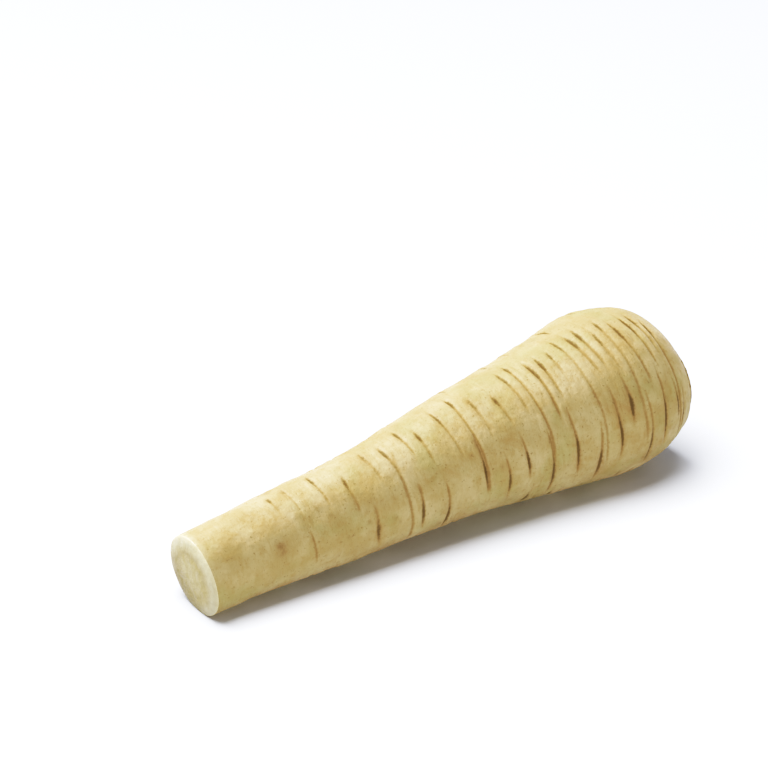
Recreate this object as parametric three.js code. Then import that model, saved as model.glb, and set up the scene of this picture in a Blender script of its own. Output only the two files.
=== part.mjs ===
// A parsnip lying on its side: a tapered root, cut across its tip and trimmed at its crown.
// Millimetres, +Z up. The root runs along X, tip toward -X, crown toward +X.
// The origin is on the resting plane, under the middle of the root.
import * as THREE from 'three';
import { mergeVertices } from 'three/addons/utils/BufferGeometryUtils.js';

// Driving dimensions. Distances along the root start at the skin edge of the tip cut.
const SHOULDER_RADIUS = 27.5;
const TIP_RADIUS = 13.4;
const TIP_FACE_RADIUS = 11.6;
const TIP_BEVEL = 1.0;
const TIP_BULGE = 1.2;
const STUB_FOOT_AT = 177.2;
const STUB_FOOT_RADIUS = 17.0;
const STUB_WAIST_RADIUS = 15.6;
const STUB_TOP_RADIUS = 15.4;
const STUB_HEIGHT = 2.7;
const STUB_EDGE_ROUND = 0.5;
const STUB_SLOPE = 0.07;
const STUB_LOW_SIDE = 65;
const STUB_OFFSET = 1.6;
const STUB_OFFSET_SIDE = 245;
const STUB_OFFSET_FROM = 173;
const PITH_RADIUS = 8.2;
const PITH_DISH = 0.4;

// How deep the root is flattened where it rests, and how far it is from straight and round.
const SEAT_DEPTH = 0.3;
const SIDE_SWAY = 0.8;
const ARCH = 0.7;
const OVALITY = 0.008;
const LOBE = 0.005;
const LOBE_TURN = 1.4;

// The skin widens from the tip to the shoulder as a power of the distance, and closes in to
// the stub as a quarter of an ellipse.
const SHOULDER_AT = 153;
const TAPER_POWER = 1.75;
const TAPER_SPANS = 12;
const DOME_SPANS = 5;

// Gentle swells along the skin: the side they are on in degrees, wavelength, crest, height.
const SWELLS = [
  [60, 66, 94, 0.4],
  [-120, 78, 129, 0.4],
];
const SWELL_SPREAD = 0.7;

const COLUMNS = 48;
const RINGS_PER_SPAN = 3;
const DOWN = -Math.PI / 2;
const MERGE_DISTANCE = 1e-4;

// The tip's cut face: nearly flat, bevelled where it meets the skin.
function tipOutline() {
  return [
    new THREE.Vector2(0, -TIP_BULGE),
    new THREE.Vector2(TIP_FACE_RADIUS / 2, -TIP_BULGE),
    new THREE.Vector2(TIP_FACE_RADIUS, -TIP_BEVEL),
  ];
}

function taper() {
  return Array.from({ length: TAPER_SPANS }, (_, i) => {
    const share = i / TAPER_SPANS;
    const widening = (SHOULDER_RADIUS - TIP_RADIUS) * share ** TAPER_POWER;
    return new THREE.Vector3(TIP_RADIUS + widening, SHOULDER_AT * share, 0);
  });
}

function dome() {
  const length = STUB_FOOT_AT - SHOULDER_AT;
  const drop = SHOULDER_RADIUS - STUB_FOOT_RADIUS;
  return Array.from({ length: DOME_SPANS + 1 }, (_, i) => {
    const turn = (i / DOME_SPANS) * (Math.PI / 2);
    const radius = STUB_FOOT_RADIUS + drop * Math.cos(turn);
    return new THREE.Vector3(radius, SHOULDER_AT + length * Math.sin(turn), 0);
  });
}

function skinOutline() {
  const points = [...taper(), ...dome()];
  const curve = new THREE.CatmullRomCurve3(points, false, 'centripetal');
  return curve.getPoints((points.length - 1) * RINGS_PER_SPAN);
}

// The trimmed crown: a low stub standing on the shoulder, dished over its pith.
function crownOutline() {
  const top = STUB_FOOT_AT + STUB_HEIGHT;
  return [
    new THREE.Vector2(STUB_WAIST_RADIUS, STUB_FOOT_AT + STUB_HEIGHT / 2),
    new THREE.Vector2(STUB_TOP_RADIUS, top - STUB_EDGE_ROUND),
    new THREE.Vector2(STUB_TOP_RADIUS - STUB_EDGE_ROUND, top),
    new THREE.Vector2((STUB_TOP_RADIUS + PITH_RADIUS) / 2, top),
    new THREE.Vector2(PITH_RADIUS, top - PITH_DISH),
    new THREE.Vector2(0, top - PITH_DISH),
  ];
}

// The round, straight root, turned about X.
function turnedRoot() {
  const outline = [...tipOutline(), ...skinOutline(), ...crownOutline()];
  const turned = new THREE.LatheGeometry(outline, COLUMNS);
  turned.deleteAttribute('normal');
  turned.deleteAttribute('uv');
  turned.rotateZ(DOWN);
  return mergeVertices(turned, MERGE_DISTANCE);
}

// Share of the radius that the root has at one angle: slightly oval, slightly three-lobed.
function roundness(angle, share) {
  const oval = OVALITY * Math.cos(2 * angle);
  const lobe = LOBE * Math.cos(3 * angle + LOBE_TURN + Math.PI * share);
  return 1 + oval + lobe;
}

// How far the swells lift one place on the skin.
function swell(at, angle) {
  return SWELLS.reduce((sum, [degrees, wavelength, crest, height]) => {
    const wave = Math.cos(((at - crest) / wavelength) * 2 * Math.PI);
    const around = Math.sin((angle - THREE.MathUtils.degToRad(degrees)) / 2) * (2 / SWELL_SPREAD);
    return sum + height * wave * Math.exp(-around * around);
  }, 0);
}

// How far the slanting cut of the stub moves a point along the root.
function stubSlant(at, radius, angle) {
  const rise = THREE.MathUtils.clamp((at - STUB_FOOT_AT) / STUB_HEIGHT, 0, 1);
  const low = THREE.MathUtils.degToRad(STUB_LOW_SIDE);
  return -STUB_SLOPE * radius * rise * Math.cos(angle - low);
}

// The stub stands a little off the middle of the shoulder.
function stubShift(at) {
  const away = THREE.MathUtils.degToRad(STUB_OFFSET_SIDE);
  const amount = STUB_OFFSET * THREE.MathUtils.smoothstep(at, STUB_OFFSET_FROM, STUB_FOOT_AT);
  return new THREE.Vector3(0, amount * Math.cos(away), amount * Math.sin(away));
}

// Where a point of the round, straight root goes: uneven, swaying sideways, arched.
function grown(at, radius, angle) {
  const share = THREE.MathUtils.clamp(at / STUB_FOOT_AT, 0, 1);
  const sway = -SIDE_SWAY * Math.sin(2 * Math.PI * share);
  const arch = ARCH * Math.sin(Math.PI * share);
  const out = radius / SHOULDER_RADIUS;
  const reach = radius * roundness(angle, share) + swell(at, angle) * Math.min(out * 2, 1);
  const point = new THREE.Vector3(
    at + stubSlant(at, radius, angle),
    sway + reach * Math.cos(angle),
    arch + reach * Math.sin(angle),
  );
  return point.add(stubShift(at));
}

function grow(geometry) {
  const position = geometry.getAttribute('position');
  for (let i = 0; i < position.count; i += 1) {
    const y = position.getY(i);
    const z = position.getZ(i);
    const point = grown(position.getX(i), Math.hypot(y, z), Math.atan2(z, y));
    position.setXYZ(i, point.x, point.y, point.z);
  }
}

// The pitch that lays the root on its tip edge and its shoulder at once.
function restingPitch() {
  const edge = grown(0, TIP_RADIUS, DOWN).z;
  const slopes = skinOutline().slice(1).map((p) => (edge - grown(p.y, p.x, DOWN).z) / p.y);
  return Math.atan(Math.max(...slopes));
}

// Lays the root on Z = 0, flattened by SEAT_DEPTH where it touches, with the origin under it.
function seat(geometry) {
  geometry.rotateY(-restingPitch());
  geometry.computeBoundingBox();
  const box = geometry.boundingBox;
  const middle = box.getCenter(new THREE.Vector3());
  geometry.translate(-middle.x, -middle.y, -box.min.z - SEAT_DEPTH);
  const position = geometry.getAttribute('position');
  for (let i = 0; i < position.count; i += 1) {
    position.setZ(i, Math.max(position.getZ(i), 0));
  }
}

function parsnip() {
  const geometry = turnedRoot();
  grow(geometry);
  seat(geometry);
  geometry.computeVertexNormals();
  const skin = new THREE.MeshStandardMaterial({ color: 0xe3d3a0, roughness: 0.6, metalness: 0 });
  const root = new THREE.Mesh(geometry, skin);
  root.name = 'parsnip';
  const group = new THREE.Group();
  group.add(root);
  return group;
}

export default parsnip();
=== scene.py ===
"""A whole raw parsnip lying on its side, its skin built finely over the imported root.

Places along the root ("at") are in millimetres from the skin edge of the tip cut, and angles
around it are in degrees: 0 is the +Y side, 90 the top, 180 the -Y side, 270 underneath.
"""
import math

import bpy
import numpy as np
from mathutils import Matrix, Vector
from mathutils.bvhtree import BVHTree


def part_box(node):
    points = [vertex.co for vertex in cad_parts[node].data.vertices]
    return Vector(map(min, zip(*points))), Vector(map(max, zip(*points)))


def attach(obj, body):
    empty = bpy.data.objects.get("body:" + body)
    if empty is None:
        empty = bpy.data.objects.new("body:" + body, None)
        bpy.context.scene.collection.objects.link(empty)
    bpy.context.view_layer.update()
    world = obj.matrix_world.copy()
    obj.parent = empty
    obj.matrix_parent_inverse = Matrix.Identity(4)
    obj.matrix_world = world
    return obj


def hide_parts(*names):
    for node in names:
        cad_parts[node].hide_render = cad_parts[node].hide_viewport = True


MM = 0.001
FULL_TURN = 2 * math.pi
SEED = 11

# The grid: columns around the root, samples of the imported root, and rings between them.
COLUMNS = 180
SAMPLED_COLUMNS = 48
HARMONICS = 8
TIP_RINGS = 40
WALL_RINGS = 9
CROWN_RINGS = 46
SAMPLES = [(0, 34, 2, 2), (34, 164, 2, 5), (164, 174, 1, 3), (174, 177.2, 0.4, 2)]

# The root's ends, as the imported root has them.
TIP_BULGE = 1.2
STUB_FOOT_AT = 177.2
WAIST_ABOVE_FOOT = 1.2
RIM_INSET = 0.6
FAR_BEYOND = 300

# Where its cross-sections give its axis, from either end, and the radius that waves wrap round.
SECTION_FROM_TIP = 12
SECTION_FROM_CROWN = 30
MEAN_RADIUS = 20

# Every how many columns the crown's level is sampled.
CROWN_STEP = 5

# The tip cut: the side on which it is most worn, toward which its colour is darkened as painted
# shade, and where it has no skin at its edge.
TIP_WORN_AND_SHADED_SIDE = 315
PEELED_SIDE = (30, 130)
PEEL = 2.4

# The near side's rows of marks, closer together toward the shoulder: the first and last place
# of a row, its gap near the tip and near the shoulder, the angle where its marks start, how far
# they run, the shares of that run between which they are dark, and how many marks go to each
# one that runs on for LONG_RUN more degrees, or 0 for none.
ROWS = [
    (28, 170, 8.0, 3.6, 88, 46, 0.05, 0.45, 4),
    (56, 170, 12.0, 4.4, 152, 52, 0.35, 0.85, 0),
]
LONG_RUN = 70
WOBBLE = 0.13
MARK_FADE = 18

# The rest of the skin gets marks of the same kind, at random.
FAR_SIDE = (222, 426)
FAR_TRIES = 420
HAIRLINES = 170
PITS = 170
STAINS = 16

# The crown's cut: the side on which its bark is palest, and the teeth of its fibrous ring.
NEAR_SIDE = 140
TEETH = 42
TOOTH = 0.035

# The camera: where it looks from, and its lens.
TARGET = (0, 0, 22)
ELEVATION = 28.0
AZIMUTH = -34.72
DISTANCE = 850
ASIDE = -16.79
ABOVE = 24.82
LENS = 126.76

# The display's contrast: what a few levels of light come out as.
TONE = [(0.09, 0.05), (0.17, 0.155), (0.31, 0.42), (0.60, 0.80)]


def smooth(low, high, value):
    t = np.clip((value - low) / (high - low), 0, 1)
    return t * t * (3 - 2 * t)


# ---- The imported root, sampled -------------------------------------------------------------


class Root:
    """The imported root, with its own axis and ways to ask where its surface is."""

    def __init__(self, node):
        self.points = np.array([v.co for v in node.data.vertices])
        faces = [tuple(p.vertices) for p in node.data.polygons]
        self.tree = BVHTree.FromPolygons([Vector(p) for p in self.points], faces)
        low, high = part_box(node.name)
        near_tip = self.section_centre(low.x + SECTION_FROM_TIP * MM, low, high)
        shoulder = self.section_centre(high.x - SECTION_FROM_CROWN * MM, low, high)
        self.axis = (shoulder - near_tip).normalized()
        self.side = (Vector((0, 1, 0)) - self.axis * self.axis.y).normalized()
        self.over = self.axis.cross(self.side)
        lowest = min(Vector(p).dot(self.axis) for p in self.points)
        edge = lowest + TIP_BULGE * MM
        self.origin = near_tip + self.axis * (edge - near_tip.dot(self.axis))

    def hit(self, start, direction):
        place = self.tree.ray_cast(Vector(start), Vector(direction))[0]
        if place is None:
            raise RuntimeError("a ray missed the packed root")
        return place

    def section_centre(self, x, low, high):
        """Middle of the root's cross-section at x."""
        over = self.hit((x, 0, high.z + 1), (0, 0, -1)).z
        under = self.hit((x, 0, low.z - 1), (0, 0, 1)).z
        z = (over + under) / 2
        left = self.hit((x, low.y - 1, z), (0, 1, 0)).y
        right = self.hit((x, high.y + 1, z), (0, -1, 0)).y
        return Vector((x, (left + right) / 2, z))

    def outward(self, angle):
        return self.side * math.cos(angle) + self.over * math.sin(angle)

    def radius(self, at, angle):
        start = self.origin + self.axis * (at * MM)
        return (self.hit(start, self.outward(angle)) - start).length

    def ring(self, at):
        angles = np.arange(SAMPLED_COLUMNS) * FULL_TURN / SAMPLED_COLUMNS
        return np.array([self.radius(at, angle) for angle in angles])

    def crown_level(self, place):
        """Distance along the axis of the crown's face, straight outward from a place."""
        beyond = FAR_BEYOND * MM - (place - self.origin).dot(self.axis)
        start = place + self.axis * beyond
        return (self.hit(start, -self.axis) - self.origin).dot(self.axis)


def rounded(ring):
    """A ring of sampled radii without its facets, at every column."""
    terms = np.fft.rfft(ring)
    terms[HARMONICS + 1:] = 0
    return np.fft.irfft(terms, SAMPLED_COLUMNS)


def widened(ring):
    """A ring of sampled radii, brought to the grid's columns."""
    return np.fft.irfft(np.fft.rfft(ring), COLUMNS) * COLUMNS / SAMPLED_COLUMNS


def softened(rows):
    """Rows averaged with their neighbours, ends kept."""
    out = rows.copy()
    out[1:-1] = (rows[:-2] + 2 * rows[1:-1] + rows[2:]) / 4
    return out


def between(rows, steps):
    """Catmull-Rom rows between the given ones, as many to each as steps says."""
    padded = np.vstack([2 * rows[:1] - rows[1:2], rows, 2 * rows[-1:] - rows[-2:-1]])
    out = []
    for i, count in enumerate(steps):
        a, b, c, d = padded[i:i + 4]
        for t in np.arange(count) / count:
            out.append(
                0.5 * (2 * b + (c - a) * t + (2 * a - 5 * b + 4 * c - d) * t ** 2
                       + (3 * b - a - 3 * c + d) * t ** 3)
            )
    out.append(rows[-1])
    return np.array(out)


def skin_rings(root):
    """Distance along the root of each ring of the skin, and its radii, in metres."""
    places, steps = [], []
    for first, last, spacing, count in SAMPLES:
        inside = np.arange(first, last - spacing / 2, spacing)
        places.extend(inside)
        steps.extend([count] * len(inside))
    places.append(SAMPLES[-1][1])
    inset = np.clip(places, 0.05, STUB_FOOT_AT - 0.02)
    radii = np.array([widened(rounded(root.ring(at))) for at in inset])
    both = np.hstack([np.array(places)[:, None] * MM, radii])
    fine = between(softened(softened(both)), steps)
    return fine[:, 0], fine[:, 1:]


# ---- The grid -----------------------------------------------------------------------------


class Grid:
    """Rings of places from the tip's centre to the crown's, with what each ring belongs to."""

    def __init__(self, root):
        self.root = root
        self.angle = np.arange(COLUMNS) * FULL_TURN / COLUMNS
        self.spokes = np.array([root.outward(a) for a in self.angle])
        at, radii = skin_rings(root)
        skin = self.place(at[:, None], radii)
        tip = self.tip_face(skin[0])
        wall = self.wall(at[-1], radii[-1])
        crown = self.crown_face(wall[-1])
        self.parts = [("tip", tip), ("skin", skin), ("wall", wall), ("crown", crown)]
        self.places = np.concatenate([rows for _, rows in self.parts])
        self.kind = np.concatenate([[name] * len(rows) for name, rows in self.parts])
        offset = self.places - np.array(root.origin)
        self.at = offset @ np.array(root.axis) / MM
        self.theta = np.broadcast_to(np.degrees(self.angle), self.at.shape)
        self.height = np.zeros(self.at.shape)

    def place(self, at, radii):
        """Places at distances along the axis and radii, both in metres."""
        along = np.array(self.root.axis) * np.asarray(at)[..., None]
        return np.array(self.root.origin) + along + self.spokes * np.asarray(radii)[..., None]

    def tip_face(self, edge):
        """Rings of the cut face, from near its centre out to just inside the skin."""
        share = (np.arange(TIP_RINGS) + 1)[:, None, None] / (TIP_RINGS + 1)
        share = 1 - (1 - share) ** 1.25
        centre = edge.mean(0)
        self.tip_share = share[:, 0, 0]
        worn = 0.5 + 0.5 * np.cos(self.angle - math.radians(TIP_WORN_AND_SHADED_SIDE))[None, :, None]
        bulge = TIP_BULGE * MM * np.sqrt(1 - share ** (5 - 2 * worn))
        return centre + (edge - centre) * share - np.array(self.root.axis) * bulge

    def wall(self, foot_at, foot):
        """Rings of the stub's side, up to its slanting edge."""
        waist = widened(rounded(self.root.ring(STUB_FOOT_AT + WAIST_ABOVE_FOOT)))
        inner = self.place(np.zeros(COLUMNS), waist - RIM_INSET * MM)
        top = np.array([self.root.crown_level(Vector(p)) for p in inner])
        share = ((np.arange(WALL_RINGS) + 1) / WALL_RINGS)[:, None]
        at = foot_at + (top - foot_at) * share
        radii = foot + (waist - foot) * np.sqrt(share)
        return self.place(at, radii)

    def crown_face(self, edge):
        """Rings of the crown's cut, from just inside its edge to near its centre."""
        share = 1 - (np.arange(CROWN_RINGS) + 1)[:, None, None] / (CROWN_RINGS + 1)
        self.crown_share = share[:, 0, 0]
        centre = edge.mean(0)
        flat = centre + (edge - centre) * share
        axis, origin = np.array(self.root.axis), np.array(self.root.origin)
        level = np.array([[self.root.crown_level(Vector(p)) for p in row[::CROWN_STEP]]
                          for row in flat])
        sampled = self.angle[::CROWN_STEP]
        fine = np.array([np.interp(self.angle, sampled, row, period=FULL_TURN) for row in level])
        found = (flat - origin) @ axis
        return flat + axis * (fine - found)[..., None]

    def rows(self, kind):
        return self.kind == kind

    def normals(self):
        around = np.roll(self.places, -1, 1) - np.roll(self.places, 1, 1)
        along = np.gradient(self.places, axis=0)
        normal = np.cross(around, along)
        return normal / np.linalg.norm(normal, axis=2, keepdims=True)

    def raised(self):
        """The places, moved outward by the height, and kept on or over the floor."""
        out = self.places + self.normals() * (self.height * MM)[..., None]
        out[..., 2] = np.maximum(out[..., 2], 0)
        return out

    def faces(self):
        rings = len(self.places)
        row, column = np.meshgrid(np.arange(rings - 1), np.arange(COLUMNS), indexing="ij")
        nearby = (column + 1) % COLUMNS
        a, b = row * COLUMNS + column, row * COLUMNS + nearby
        quads = np.stack([a, b, b + COLUMNS, a + COLUMNS], -1).reshape(-1, 4)
        tip, crown = rings * COLUMNS, rings * COLUMNS + 1
        last = (rings - 1) * COLUMNS
        fans = []
        for i in range(COLUMNS):
            j = (i + 1) % COLUMNS
            fans.append((tip, j, i))
            fans.append((crown, last + i, last + j))
        return quads.tolist(), fans

    def vertices(self):
        raised = self.raised()
        poles = [raised[0].mean(0), raised[-1].mean(0)]
        return np.concatenate([raised.reshape(-1, 3), poles])


# ---- The skin's relief and colour ---------------------------------------------------------


def ripples(grid, random, count, length):
    """A smooth random field, about -1 to 1, with waves near a length in millimetres."""
    total = np.zeros(grid.at.shape)
    for _ in range(count):
        heading = random.uniform(0, math.pi)
        rate = FULL_TURN / (length * random.uniform(0.7, 1.5))
        turns = round(rate * MEAN_RADIUS * math.sin(heading))
        phase = random.uniform(0, FULL_TURN)
        total += np.cos(rate * math.cos(heading) * grid.at
                        + turns * np.radians(grid.theta) + phase)
    return total / math.sqrt(count / 2) / 2


def dimples(across, over, random, count=30):
    """A smooth random field, about -1 to 1, over a round face one unit in radius."""
    total = np.zeros(across.shape)
    for _ in range(count):
        heading, phase = random.uniform(0, FULL_TURN, 2)
        rate = random.uniform(9, 30)
        total += np.cos(rate * (across * math.cos(heading) + over * math.sin(heading)) + phase)
    return total / math.sqrt(2 * count)


def spans(theta, first, last, fade):
    """1 between two angles, falling to 0 beyond them; the angles may run past 360."""
    middle, half = (first + last) / 2, (last - first) / 2
    away = np.abs((theta - middle + 180) % 360 - 180)
    return 1 - smooth(half - fade / 2, half + fade / 2, away)


class Skin:
    """What is drawn on the grid: relief, and the shares of each mark colour."""

    def __init__(self, grid):
        self.grid = grid
        self.random = np.random.default_rng(SEED)
        shape = grid.at.shape
        self.crease, self.core = np.zeros(shape), np.zeros(shape)
        # The stain share also carries the tip face's painted shade.
        self.rust, self.stain_and_shade = np.zeros(shape), np.zeros(shape)
        self.on = grid.rows("skin")[:, None] * np.ones(shape)
        peeled = smooth(PEEL, 0, grid.at) * spans(grid.theta, *PEELED_SIDE, 70)
        self.peel = 0.55 * peeled * self.on

    def mark(self, at0, at1, first, last, dark_from, dark_to, width, depth, red):
        """One crease across the root, with a dark core and a slight lip on either side."""
        grid, random = self.grid, self.random
        turned = (grid.theta - first + 40) % 360 - 40
        share = np.clip(turned / (last - first), 0, 1)
        rates, phases = random.uniform(3, 9, 2), random.uniform(0, FULL_TURN, 2)
        wave = sum(np.sin(np.radians(turned) * r + p) for r, p in zip(rates, phases))
        away = grid.at - (at0 + (at1 - at0) * share + WOBBLE * wave)
        fade = min(MARK_FADE, (last - first) * 0.7)
        length = spans(grid.theta, first, last, fade) * self.on
        narrow = width * (0.65 + 0.35 * length)
        line = np.exp(-((away / narrow) ** 2)) * length
        lip = np.exp(-(((np.abs(away) - 1.9 * width) / (1.1 * width)) ** 2)) * length
        grid.height -= depth * line - 0.3 * depth * lip
        strength = min(1, 0.2 + depth * 2)
        thread = np.exp(-((away / (0.7 * narrow)) ** 2)) * length
        self.crease = np.maximum(self.crease, thread * strength)
        if dark_to > dark_from:
            dark = spans(grid.theta, dark_from, dark_to, (dark_to - dark_from) * 0.9) * self.on
            thin = width * (0.35 + 0.55 * dark)
            core = np.exp(-((away / thin) ** 2)) * dark
            grid.height -= 0.35 * depth * core
            self.core = np.maximum(self.core, core * min(1, 0.1 + 3 * depth))
            halo = np.exp(-((away / (2.0 * width)) ** 2)) * dark
            self.crease = np.maximum(self.crease, 0.3 * halo * strength)
            self.rust = np.maximum(self.rust, red * halo)

    def hairlines(self):
        """Faint short lines across the root, closer together toward the shoulder."""
        random = self.random
        for _ in range(HAIRLINES):
            at = 12 + 160 * random.uniform() ** 0.6
            first = random.uniform(0, 360)
            last = first + random.uniform(7, 34)
            self.mark(at, at + random.normal(0, 0.5), first, last, 0, 0,
                      random.uniform(0.25, 0.5), random.uniform(0.02, 0.08), 0)

    def spot(self, at, theta, length, spread, brown, orange):
        grid = self.grid
        turned = (grid.theta - theta + 180) % 360 - 180
        shape = np.exp(-(((grid.at - at) / length) ** 2) - (turned / spread) ** 2) * self.on
        self.stain_and_shade = np.maximum(self.stain_and_shade, brown * shape)
        self.rust = np.maximum(self.rust, orange * shape)

    def random_mark(self, at, first, last, dark_from, dark_to):
        """A mark at one place, with its slant, width, depth and redness drawn at random."""
        random = self.random
        depth = random.uniform(0.18, 0.28) + 0.12 * smooth(50, 130, at) * random.uniform(0, 1)
        self.mark(at, at + random.normal(0, 0.6), first, last, dark_from, dark_to,
                  random.uniform(0.6, 0.95), depth, random.uniform(0, 0.4))

    def row(self, start, end, wide, close, angle, run, dark_from, dark_to, long_every):
        """A row of marks along the near side."""
        random, at, count = self.random, start, 0
        while at < end:
            first = angle + random.normal(0, 9)
            reach = run * random.uniform(0.6, 1.35)
            extra = LONG_RUN if long_every and count % long_every == 1 else 0
            ends = (first + reach * dark_from, first + reach * dark_to)
            self.random_mark(at, first, first + reach + extra, *ends)
            gap = wide + (close - wide) * (at - start) / (end - start)
            at += gap * random.uniform(0.6, 1.4)
            count += 1

    def far_marks(self):
        """Marks of the same kind over the rest of the root, none close over another."""
        random, taken = self.random, []
        low, high = FAR_SIDE
        for _ in range(FAR_TRIES):
            at = 30 + 142 * random.uniform() ** 0.75
            middle = random.uniform(low, high)
            half = random.uniform(8, 34)
            first, last = max(middle - half, low), min(middle + half, high)
            clear = all(abs(at - a) > 2.4 or last < f or first > t for a, f, t in taken)
            if not clear or last - first < 10:
                continue
            taken.append((at, first, last))
            dark = random.uniform() < 0.6
            middle, half = random.uniform(first, last), random.uniform(4, 13)
            ends = (middle - half, middle + half) if dark else (0, 0)
            self.random_mark(at, first, last, *ends)

    def stains(self):
        """Small brown and orange stains anywhere on the skin."""
        random = self.random
        for _ in range(STAINS):
            at, theta = random.uniform(8, 174), random.uniform(0, 360)
            length, spread = random.uniform(0.6, 2.2), random.uniform(2.5, 10)
            self.spot(at, theta, length, spread, *random.uniform(0, 0.6, 2))

    def pits(self):
        """Small dimples and specks, fewer toward the tip."""
        grid, random = self.grid, self.random
        for _ in range(PITS):
            at, theta = 8 + 165 * random.uniform() ** 0.85, random.uniform(0, 360)
            radius, shade = random.uniform(0.45, 0.9), random.uniform(0.05, 0.4)
            turned = np.radians((grid.theta - theta + 180) % 360 - 180) * MEAN_RADIUS
            away = ((grid.at - at) ** 2 + (turned / 1.4) ** 2) / radius ** 2
            dimple = np.exp(-away) * self.on
            grid.height -= 0.08 * dimple
            self.stain_and_shade = np.maximum(self.stain_and_shade, shade * dimple)

    def draw(self):
        grid, random = self.grid, self.random
        ease = self.on * smooth(0, 6, grid.at) * smooth(178, 172, grid.at)
        grid.height += 0.16 * ripples(grid, random, 16, 16) * ease
        grid.height += 0.06 * ripples(grid, random, 24, 6) * ease
        for row in ROWS:
            self.row(*row)
        self.far_marks()
        self.hairlines()
        self.stains()
        self.pits()


def cut_tip(skin):
    """The tip's cut: a soft step at the ring inside the skin, and one worn side, made darker by
    painted shade.
    """
    grid = skin.grid
    rows = grid.rows("tip")
    share = grid.tip_share[:, None]
    theta = np.radians(grid.theta[rows])
    ring = 0.57 + 0.02 * np.cos(2 * theta + 1) + 0.012 * np.cos(5 * theta)
    grid.height[rows] -= 0.06 * np.exp(-(((share - ring) / 0.07) ** 2))
    grid.height[rows] += 0.10 * smooth(0.5, 0.0, share)
    toward = share * np.cos(theta - math.radians(TIP_WORN_AND_SHADED_SIDE))
    # Painted shade: the cut face's colour darkens toward its worn, bevelled side.
    skin.stain_and_shade[rows] = 0.9 * smooth(0.0, 0.9, toward)


def cut_crown(skin):
    """The crown: a rough side, a ring of coarse fibres, and a dished pale middle."""
    grid, random = skin.grid, skin.random
    wall, face = grid.rows("wall"), grid.rows("crown")
    rough = ripples(grid, random, 40, 3) + 0.6 * ripples(grid, random, 40, 6)
    level = np.linspace(0, 1, WALL_RINGS)[:, None]
    grid.height[wall] += 0.22 * rough[wall] * np.sin(math.pi * np.clip(level, 0.1, 0.9))
    share = grid.crown_share[:, None]
    theta = np.radians(grid.theta[face])
    fibres = np.zeros(theta.shape)
    for turns in (19, 29, 37, 47, 59):
        bend = random.uniform(-2, 2)
        fibres += np.cos(turns * theta + bend * share + random.uniform(0, FULL_TURN))
    band = smooth(0.5, 0.62, share) * smooth(0.97, 0.88, share)
    grid.height[face] += (0.06 * fibres - 0.18) * band
    skin.stain_and_shade[face] = np.clip(0.36 + 0.11 * fibres, 0, 0.7) * smooth(0.92, 0.6, share)
    rim = np.exp(-(((share - 0.95) / 0.035) ** 2))
    grid.height[face] += 0.10 * rim
    grid.height[face] += 0.06 * dimples(share * np.cos(theta), share * np.sin(theta), random)


# ---- Materials ----------------------------------------------------------------------------


class Nodes:
    """A material's node tree, with short ways to add what these materials need."""

    def __init__(self, name):
        self.material = bpy.data.materials.new(name)
        self.material.use_nodes = True
        self.tree = self.material.node_tree
        self.shader = self.tree.nodes["Principled BSDF"]
        self.where = self.add("ShaderNodeTexCoord").outputs["Object"]

    def add(self, kind, **settings):
        node = self.tree.nodes.new(kind)
        for key, value in settings.items():
            setattr(node, key, value)
        return node

    def link(self, source, socket):
        self.tree.links.new(source, socket)

    def feed(self, socket, value):
        if isinstance(value, bpy.types.NodeSocket):
            self.link(value, socket)
        else:
            socket.default_value = value

    def stretched(self, scale):
        mapping = self.add("ShaderNodeMapping")
        self.link(self.where, mapping.inputs["Vector"])
        mapping.inputs["Scale"].default_value = scale
        return mapping.outputs["Vector"]

    def noise(self, scale, detail=3.0, rough=0.55, where=None, distortion=0.0):
        node = self.add("ShaderNodeTexNoise")
        self.link(where or self.where, node.inputs["Vector"])
        node.inputs["Scale"].default_value = scale
        node.inputs["Detail"].default_value = detail
        node.inputs["Roughness"].default_value = rough
        node.inputs["Distortion"].default_value = distortion
        return node.outputs["Fac"]

    def ramp(self, value, low, high, out_low=0.0, out_high=1.0):
        node = self.add("ShaderNodeMapRange", interpolation_type="SMOOTHSTEP")
        self.feed(node.inputs["Value"], value)
        for key, number in (("From Min", low), ("From Max", high),
                            ("To Min", out_low), ("To Max", out_high)):
            node.inputs[key].default_value = number
        return node.outputs["Result"]

    def maths(self, operation, a, b):
        node = self.add("ShaderNodeMath", operation=operation)
        self.feed(node.inputs[0], a)
        self.feed(node.inputs[1], b)
        return node.outputs["Value"]

    def mix(self, share, a, b):
        node = self.add("ShaderNodeMix", data_type="RGBA")
        self.feed(node.inputs["Factor"], share)
        self.feed(node.inputs["A"], a if not isinstance(a, tuple) else (*a, 1))
        self.feed(node.inputs["B"], b if not isinstance(b, tuple) else (*b, 1))
        return node.outputs["Result"]

    def attribute(self, name):
        return self.add("ShaderNodeAttribute", attribute_name=name).outputs["Fac"]

    def bump(self, height, distance, strength=1.0, after=None):
        node = self.add("ShaderNodeBump")
        self.link(height, node.inputs["Height"])
        node.inputs["Distance"].default_value = distance
        node.inputs["Strength"].default_value = strength
        if after is not None:
            self.link(after, node.inputs["Normal"])
        return node.outputs["Normal"]


FLESH = (0.93, 0.855, 0.60)
FLESH_RING = (0.68, 0.575, 0.30)
FLESH_CORE = (0.77, 0.67, 0.375)
# Painted shade: the flesh colour for the darker, worn side of the tip cut.
FLESH_PAINTED_SHADE = (0.47, 0.38, 0.20)
CREAM = (0.59, 0.462, 0.247)
PALE = (0.70, 0.580, 0.355)
OCHRE = (0.53, 0.375, 0.170)
GREENISH = (0.51, 0.455, 0.220)
TAN = (0.43, 0.30, 0.13)
DARK = (0.27, 0.19, 0.07)
RUST = (0.47, 0.29, 0.13)
SPECK = (0.36, 0.26, 0.12)


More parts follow.
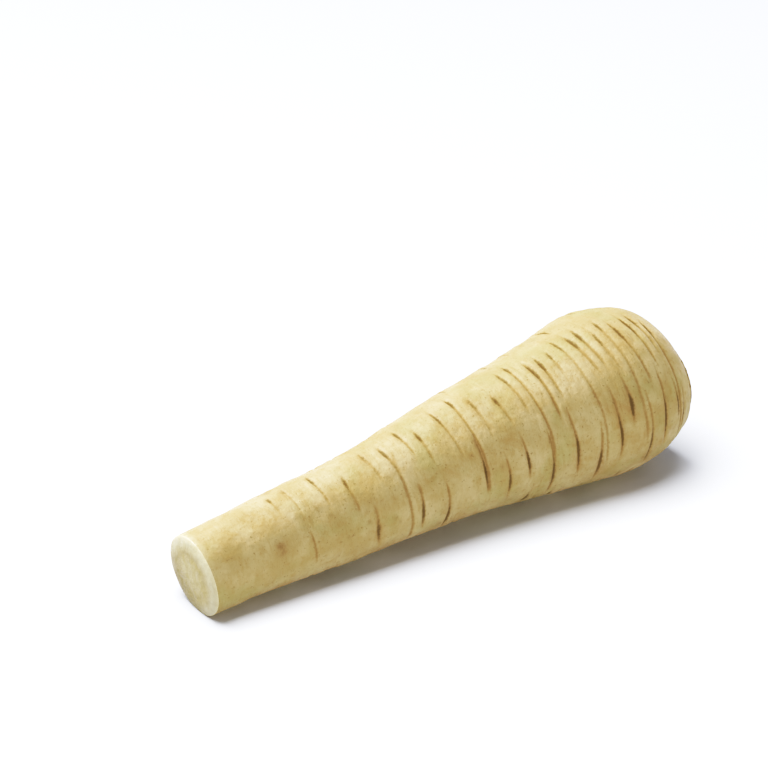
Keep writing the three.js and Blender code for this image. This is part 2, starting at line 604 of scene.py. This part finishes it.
def skin_material():
    nodes = Nodes("parsnip_skin")
    around = nodes.stretched((1.0, 0.25, 0.25))
    patches = nodes.ramp(nodes.noise(80, 4, 0.6), 0.36, 0.66)
    colour = nodes.mix(patches, CREAM, PALE)
    ochre = nodes.ramp(nodes.noise(130, 5, 0.65, distortion=0.6), 0.48, 0.72, 0.0, 0.5)
    colour = nodes.mix(ochre, colour, OCHRE)
    green = nodes.ramp(nodes.noise(55, 3), 0.48, 0.68, 0.0, 0.5)
    colour = nodes.mix(green, colour, GREENISH)
    mottle = nodes.ramp(nodes.noise(480, 4, 0.7), 0.48, 0.76, 0.0, 0.45)
    colour = nodes.mix(mottle, colour, OCHRE)
    streaks = nodes.noise(900, 3, 0.6, where=around)
    colour = nodes.mix(nodes.ramp(streaks, 0.50, 0.78, 0.0, 0.35), colour, OCHRE)
    specks = nodes.ramp(nodes.noise(1100, 2, 0.5), 0.63, 0.74, 0.0, 0.55)
    colour = nodes.mix(specks, colour, SPECK)
    crease = nodes.attribute("crease")
    ragged = nodes.maths("MULTIPLY", nodes.noise(1000, 4, 0.7), 0.9)
    tan = nodes.ramp(nodes.maths("ADD", crease, ragged), 0.46, 1.40, 0.0, 0.95)
    colour = nodes.mix(tan, colour, TAN)
    broken = nodes.ramp(nodes.noise(620, 4, 0.65), 0.36, 0.60, 0.35, 1.0)
    colour = nodes.mix(nodes.maths("MULTIPLY", nodes.attribute("rust"), broken), colour, RUST)
    stain_and_shade = nodes.maths("MULTIPLY", nodes.attribute("stain_and_shade"), broken)
    colour = nodes.mix(stain_and_shade, colour, SPECK)
    core = nodes.ramp(nodes.maths("ADD", nodes.attribute("core"), ragged), 0.66, 1.32)
    colour = nodes.mix(core, colour, DARK)
    colour = nodes.mix(nodes.maths("MULTIPLY", nodes.attribute("peel"), broken), colour, FLESH)
    nodes.link(colour, nodes.shader.inputs["Base Color"])
    rough = nodes.ramp(nodes.noise(300, 2), 0.3, 0.7, 0.46, 0.62)
    rough = nodes.maths("ADD", rough, nodes.maths("MULTIPLY", crease, 0.15))
    nodes.link(rough, nodes.shader.inputs["Roughness"])
    nodes.shader.inputs["Specular IOR Level"].default_value = 0.35
    fine = nodes.bump(nodes.noise(1500, 3, 0.6, where=around), 0.00016, 0.9)
    normal = nodes.bump(nodes.noise(420, 4, 0.6), 0.00040, 0.8, after=fine)
    nodes.link(normal, nodes.shader.inputs["Normal"])
    return nodes.material


def tip_material():
    nodes = Nodes("parsnip_tip_cut")
    share = nodes.attribute("share")
    uneven = nodes.maths("MULTIPLY", nodes.noise(260, 3), 0.06)
    share = nodes.maths("ADD", share, uneven)
    colour = nodes.mix(nodes.ramp(share, 0.35, 0.58, 0.0, 0.8), FLESH_CORE, FLESH_RING)
    colour = nodes.mix(nodes.ramp(share, 0.62, 0.90), colour, FLESH)
    mottle = nodes.ramp(nodes.noise(420, 4, 0.65), 0.42, 0.75, 0.0, 0.4)
    colour = nodes.mix(mottle, colour, FLESH_RING)
    # Painted shade: the flesh darkens toward the tip's worn side, following the stain share.
    colour = nodes.mix(nodes.attribute("stain_and_shade"), colour, FLESH_PAINTED_SHADE)
    nodes.link(colour, nodes.shader.inputs["Base Color"])
    rough = nodes.ramp(nodes.noise(500, 2), 0.3, 0.7, 0.38, 0.55)
    nodes.link(rough, nodes.shader.inputs["Roughness"])
    nodes.shader.inputs["Specular IOR Level"].default_value = 0.4
    nodes.link(nodes.bump(nodes.noise(380, 4), 0.00040, 0.8), nodes.shader.inputs["Normal"])
    return nodes.material


BARK = (0.13, 0.085, 0.04)
BARK_LIGHT = (0.36, 0.27, 0.15)
RIM = (0.66, 0.54, 0.33)
FIBRE = (0.57, 0.395, 0.185)
FIBRE_DARK = (0.42, 0.26, 0.11)
PITH = (0.76, 0.70, 0.50)
PITH_SHADE = (0.58, 0.49, 0.31)


def crown_material():
    nodes = Nodes("parsnip_crown_cut")
    share = nodes.attribute("share")
    ragged = nodes.maths("MULTIPLY", nodes.noise(650, 4, 0.65), 0.22)
    edge = nodes.maths("ADD", share, ragged)
    fibres = nodes.noise(900, 4, 0.7)
    grain = nodes.ramp(nodes.maths("ADD", nodes.attribute("stain_and_shade"), fibres), 0.62, 1.15)
    coarse = nodes.maths("MULTIPLY", nodes.noise(500, 3, 0.6), 0.12)
    ring = nodes.mix(nodes.ramp(nodes.noise(750, 4, 0.7), 0.46, 0.62, 0.0, 0.6), FIBRE, RIM)
    ring = nodes.mix(nodes.ramp(nodes.maths("ADD", share, coarse), 0.88, 1.02), ring, RIM)
    fibre = nodes.mix(grain, ring, FIBRE_DARK)
    streaks = nodes.noise(420, 4, 0.6, where=nodes.stretched((1.0, 0.35, 1.0)))
    pith = nodes.mix(nodes.ramp(streaks, 0.40, 0.66, 0.0, 0.9), PITH, PITH_SHADE)
    inner = nodes.maths("ADD", share, nodes.maths("MULTIPLY", fibres, 0.16))
    colour = nodes.mix(nodes.ramp(inner, 0.61, 0.71), pith, fibre)
    bark = nodes.mix(nodes.ramp(nodes.noise(520, 4, 0.65), 0.42, 0.72), BARK, BARK_LIGHT)
    colour = nodes.mix(nodes.ramp(edge, 1.02, 1.12), colour, bark)
    nodes.link(colour, nodes.shader.inputs["Base Color"])
    rough = nodes.ramp(nodes.noise(500, 2), 0.3, 0.7, 0.6, 0.85)
    nodes.link(rough, nodes.shader.inputs["Roughness"])
    nodes.shader.inputs["Specular IOR Level"].default_value = 0.3
    nodes.link(nodes.bump(fibres, 0.00035, 0.8), nodes.shader.inputs["Normal"])
    return nodes.material


# ---- Putting it together ------------------------------------------------------------------


def end_share(grid):
    """How far each place on an end face is from its middle; over 1 on the stub's side."""
    share = np.ones(grid.at.shape)
    share[grid.rows("tip")] = grid.tip_share[:, None]
    turn = np.radians(grid.theta)
    teeth = 4 * np.abs((TEETH * turn / FULL_TURN + 0.4 * np.sin(3 * turn)) % 1 - 0.5) - 1
    reach = TOOTH * (1 + 0.5 * np.cos(7 * turn + 1))
    face = grid.rows("crown")
    inward = grid.crown_share[:, None]
    share[face] = inward + (reach * teeth)[face] * np.exp(-(((inward - 0.58) / 0.10) ** 2))
    near = np.cos(turn - math.radians(NEAR_SIDE))[grid.rows("wall")]
    share[grid.rows("wall")] = 1.3 - 0.36 * smooth(-0.6, 0.6, near)
    return share


def add_attribute(mesh, name, values, ends):
    data = mesh.attributes.new(name, "FLOAT", "POINT").data
    data.foreach_set("value", np.append(values.ravel(), ends).astype(np.float32))


def build_parsnip(root):
    grid = Grid(root)
    skin = Skin(grid)
    skin.draw()
    cut_tip(skin)
    cut_crown(skin)
    quads, fans = grid.faces()
    mesh = bpy.data.meshes.new("parsnip_visual")
    mesh.from_pydata(grid.vertices().tolist(), [], quads + fans)
    for name in ("crease", "core", "rust", "stain_and_shade", "peel"):
        add_attribute(mesh, name, getattr(skin, name), (0, 0))
    add_attribute(mesh, "share", end_share(grid), (0, 0))
    for material in (skin_material(), tip_material(), crown_material()):
        mesh.materials.append(material)
    slots = {"tip": 1, "skin": 0, "wall": 2, "crown": 2}
    rows = [slots[kind] for kind in grid.kind]
    seams = [max(pair) for pair in zip(rows, rows[1:])]
    index = np.repeat(seams, COLUMNS).tolist() + [1, 2] * COLUMNS
    mesh.polygons.foreach_set("material_index", index)
    mesh.polygons.foreach_set("use_smooth", [True] * len(index))
    mesh.update()
    piece = bpy.data.objects.new("parsnip_root", mesh)
    bpy.context.scene.collection.objects.link(piece)
    return piece


def build_floor():
    bpy.ops.mesh.primitive_plane_add(size=12)
    floor = bpy.context.object
    floor.name = "floor"
    nodes = Nodes("floor")
    tone = nodes.mix(nodes.noise(3), (0.83, 0.86, 0.955), (0.84, 0.87, 0.955))
    nodes.link(tone, nodes.shader.inputs["Base Color"])
    nodes.shader.inputs["Roughness"].default_value = 0.9
    nodes.shader.inputs["Specular IOR Level"].default_value = 0.1
    floor.data.materials.append(nodes.material)
    floor.visible_diffuse = False
    return floor


def add_area(name, direction, distance, size, power, colour):
    """A square soft light that faces the object from a direction."""
    light = bpy.data.lights.new(name, "AREA")
    light.size = size
    light.energy = power
    light.color = colour
    lamp = bpy.data.objects.new(name, light)
    lamp.location = Vector(direction).normalized() * distance
    lamp.rotation_euler = Vector(direction).to_track_quat("Z", "Y").to_euler()
    bpy.context.scene.collection.objects.link(lamp)
    return lamp


def light_only(lamp, lit):
    """The lamp lights nothing but one object."""
    receivers = bpy.data.collections.new(lamp.name + "_lights")
    receivers.objects.link(lit)
    lamp.light_linking.receiver_collection = receivers


def light_scene(parsnip, floor):
    world = bpy.data.worlds.new("studio")
    world.use_nodes = True
    background = world.node_tree.nodes["Background"]
    background.inputs["Color"].default_value = (1.0, 1.0, 1.0, 1)
    background.inputs["Strength"].default_value = 0.30
    bpy.context.scene.world = world
    white = (1.0, 1.0, 1.0)
    light_only(add_area("key", (-0.35, 0.82, 1.0), 1.6, 0.7, 24, white), parsnip)
    light_only(add_area("overhead", (-0.27, 0.02, 1.0), 1.6, 1.15, 31, white), floor)
    light_only(add_area("fill", (-0.30, -1.0, 0.22), 2.0, 1.0, 11, white), parsnip)
    light_only(add_area("side", (1.0, 0.25, 0.30), 2.0, 1.0, 8, white), parsnip)
    set_tone()


def set_tone():
    """A plain display with a soft contrast curve."""
    view = bpy.context.scene.view_settings
    view.view_transform = "Standard"
    view.use_curve_mapping = True
    points = view.curve_mapping.curves[3].points
    for place in TONE:
        points.new(*place)
    view.curve_mapping.update()


def add_camera():
    elevation, azimuth = math.radians(ELEVATION), math.radians(AZIMUTH)
    level = math.cos(elevation)
    back = Vector((math.sin(azimuth) * level, -math.cos(azimuth) * level, math.sin(elevation)))
    right = Vector((math.cos(azimuth), math.sin(azimuth), 0))
    up = back.cross(right)
    data = bpy.data.cameras.new("camera")
    data.lens = LENS
    data.sensor_width = 36
    camera = bpy.data.objects.new("camera", data)
    place = Vector(TARGET) + back * DISTANCE + right * ASIDE + up * ABOVE
    camera.location = place * MM
    camera.rotation_euler = back.to_track_quat("Z", "Y").to_euler()
    bpy.context.scene.collection.objects.link(camera)
    bpy.context.scene.camera = camera


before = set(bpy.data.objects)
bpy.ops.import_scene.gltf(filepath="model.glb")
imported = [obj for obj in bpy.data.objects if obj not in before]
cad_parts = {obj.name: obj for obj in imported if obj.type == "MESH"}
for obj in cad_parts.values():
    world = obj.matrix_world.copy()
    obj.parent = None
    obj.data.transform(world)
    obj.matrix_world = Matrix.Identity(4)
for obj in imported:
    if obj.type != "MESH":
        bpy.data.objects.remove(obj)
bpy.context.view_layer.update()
parsnip = build_parsnip(Root(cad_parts["parsnip"]))
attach(parsnip, "root")
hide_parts("parsnip")
light_scene(parsnip, build_floor())
add_camera()
bpy.context.view_layer.update()
